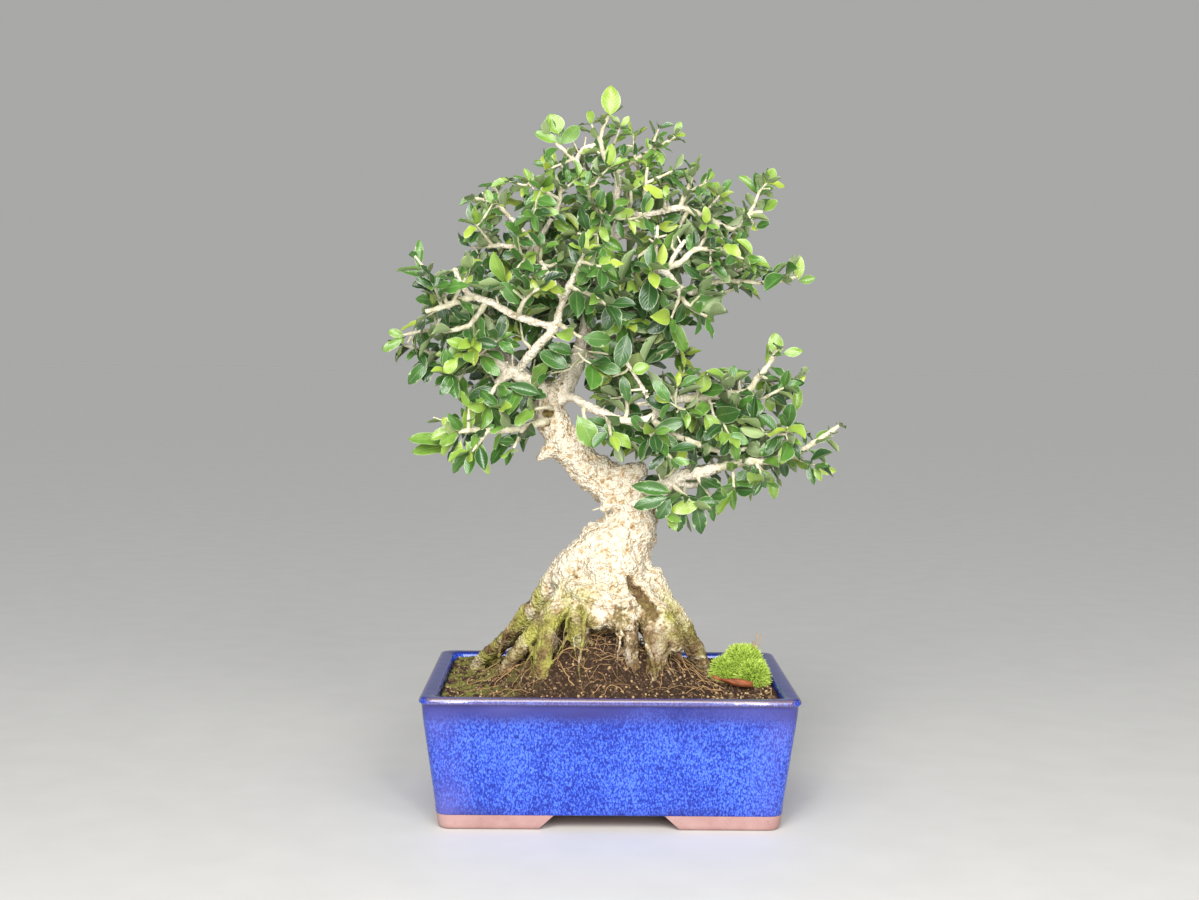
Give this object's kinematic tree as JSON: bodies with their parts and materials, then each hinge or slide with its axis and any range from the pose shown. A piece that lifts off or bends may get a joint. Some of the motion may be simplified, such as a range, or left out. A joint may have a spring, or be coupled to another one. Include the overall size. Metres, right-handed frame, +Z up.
{
  "type": "bonsai tree",
  "caption": "Potted olive bonsai: gnarled pale trunk on spread surface roots, small leathery leaves on fine twigs, in a rectangular glazed pot on four corner feet.",
  "frame": {"origin": "on the floor, under the middle of the whole object's box", "axes": "+Z up along the tree, +X to the right and -Y towards the viewer of the front side; the pot's long side runs along X"},
  "size_m": [0.2624, 0.1504, 0.399],
  "materials": {
    "glaze": "glossy cobalt glaze",
    "mesh_plastic": "matte",
    "soil": "coarse, dry, matte",
    "bark": "pale, rough, unvarnished",
    "leaf": "leathery, satin",
    "moss": "soft, matte",
    "dry_leaf": "dry, matte"
  },
  "bodies": {
    "root": {"pot": "glaze", "drain_mesh_left": "mesh_plastic", "drain_mesh_right": "mesh_plastic", "soil": "soil", "trunk": "bark", "spray_top_leader": "leaf", "spray_top_right": "leaf", "spray_top_middle": "leaf", "spray_top_left": "leaf", "spray_crown_front": "leaf", "spray_crown_leader_front": "leaf", "spray_crown_front_right": "leaf", "spray_left_shoulder": "leaf", "spray_left_shoulder_outer": "leaf", "spray_upper_left_tip": "leaf", "spray_left_tip": "leaf", "spray_left_low": "leaf", "spray_left_rosette": "leaf", "spray_left_long_low": "leaf", "spray_left_drop": "leaf", "spray_low_left": "leaf", "spray_trunk_front": "leaf", "spray_trunk_fork": "leaf", "spray_bright_rosette": "leaf", "spray_middle_front": "leaf", "spray_middle_low": "leaf", "spray_middle_left": "leaf", "spray_inner_left": "leaf", "spray_leader_right": "leaf", "spray_middle_right": "leaf", "spray_gap_fringe": "leaf", "spray_lime_low": "leaf", "spray_middle_under": "leaf", "spray_middle_under_right": "leaf", "spray_middle_rosette": "leaf", "spray_middle_upper": "leaf", "spray_right_middle": "leaf", "spray_right_upper": "leaf", "spray_right_low": "leaf", "spray_neck_right": "leaf", "spray_neck_right_low": "leaf", "spray_neck_front": "leaf", "spray_low_right_down": "leaf", "spray_low_right_up": "leaf", "spray_crown_right_up": "leaf", "spray_crown_right_tip": "leaf", "spray_middle_right_upper": "leaf", "spray_middle_right_long": "leaf", "spray_middle_right_low": "leaf", "spray_upper_middle": "leaf", "spray_back_low_left": "leaf", "spray_back_leader": "leaf", "spray_back_left": "leaf", "spray_back_right": "leaf", "spray_back_top": "leaf", "spray_back_neck": "leaf", "spray_back_far_left": "leaf", "spray_back_middle": "leaf", "moss_cushion": "moss", "dry_leaf": "dry_leaf"}
  },
  "joints": []
}
